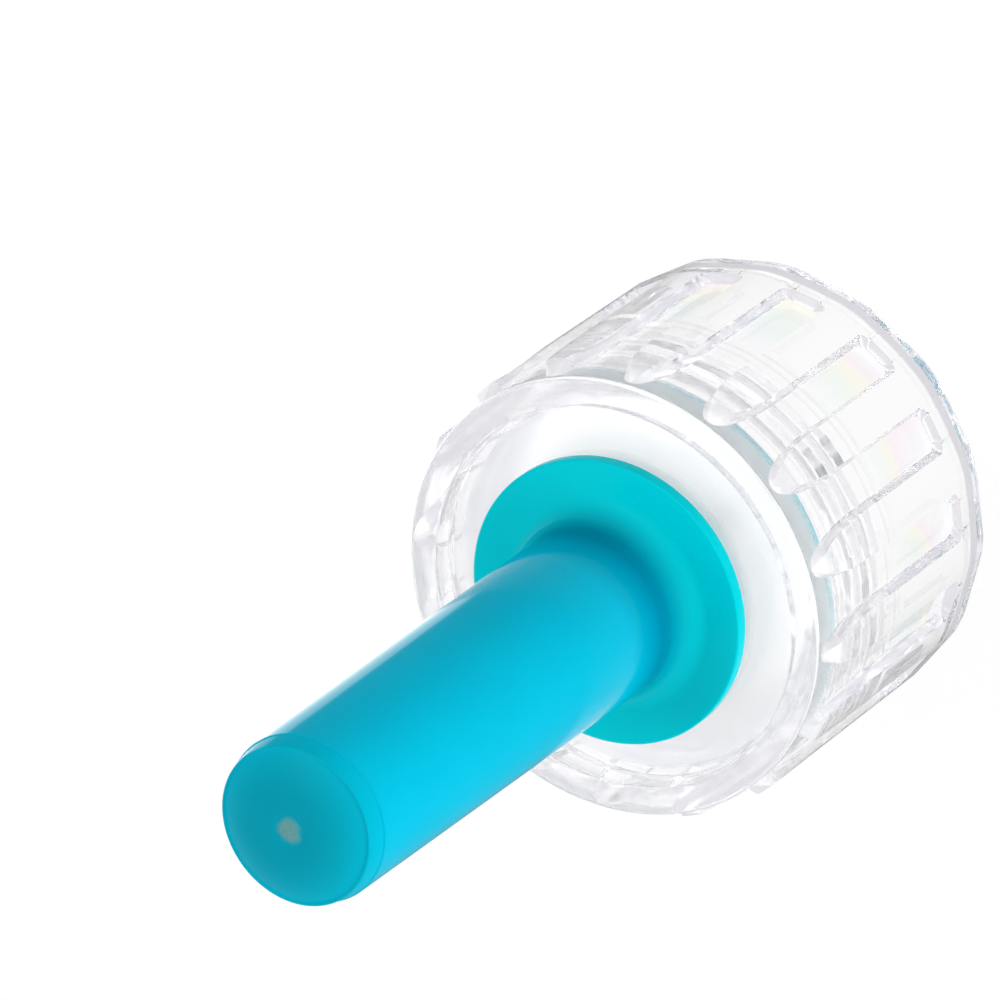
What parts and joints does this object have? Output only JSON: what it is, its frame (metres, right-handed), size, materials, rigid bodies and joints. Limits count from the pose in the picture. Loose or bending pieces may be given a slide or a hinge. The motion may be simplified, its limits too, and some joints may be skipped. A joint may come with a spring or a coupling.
{
  "type": "pen needle",
  "caption": "Pen needle: clear screw-on hub with sixteen raised lands, ringed front recess and neck, fine steel cannula and a turquoise flanged inner shield that pulls off.",
  "frame": {"origin": "centre of the hub's open rim, on the surface that the part stands on", "axes": "+Z along the cannula, from the socket's mouth towards the shield's closed end; +X through the middle of one pocket between two of the skirt's lands"},
  "size_m": [0.011, 0.011, 0.0217],
  "materials": {
    "clear_plastic": "clear, glossy as moulded",
    "needle_steel": "drawn and ground, silicone coated",
    "cured_adhesive": "clear, glossy meniscus",
    "turquoise_plastic": "satin as moulded"
  },
  "bodies": {
    "hub_body": {"hub": "clear_plastic", "cannula": "needle_steel", "adhesive_bead": "cured_adhesive"},
    "shield_body": {"inner_shield": "turquoise_plastic"}
  },
  "joints": [
    {"name": "shield_pull", "type": "slide", "parent": "hub_body", "child": "shield_body", "axis": [0, 0, 1], "range_m": [0, 0.011]}
  ]
}
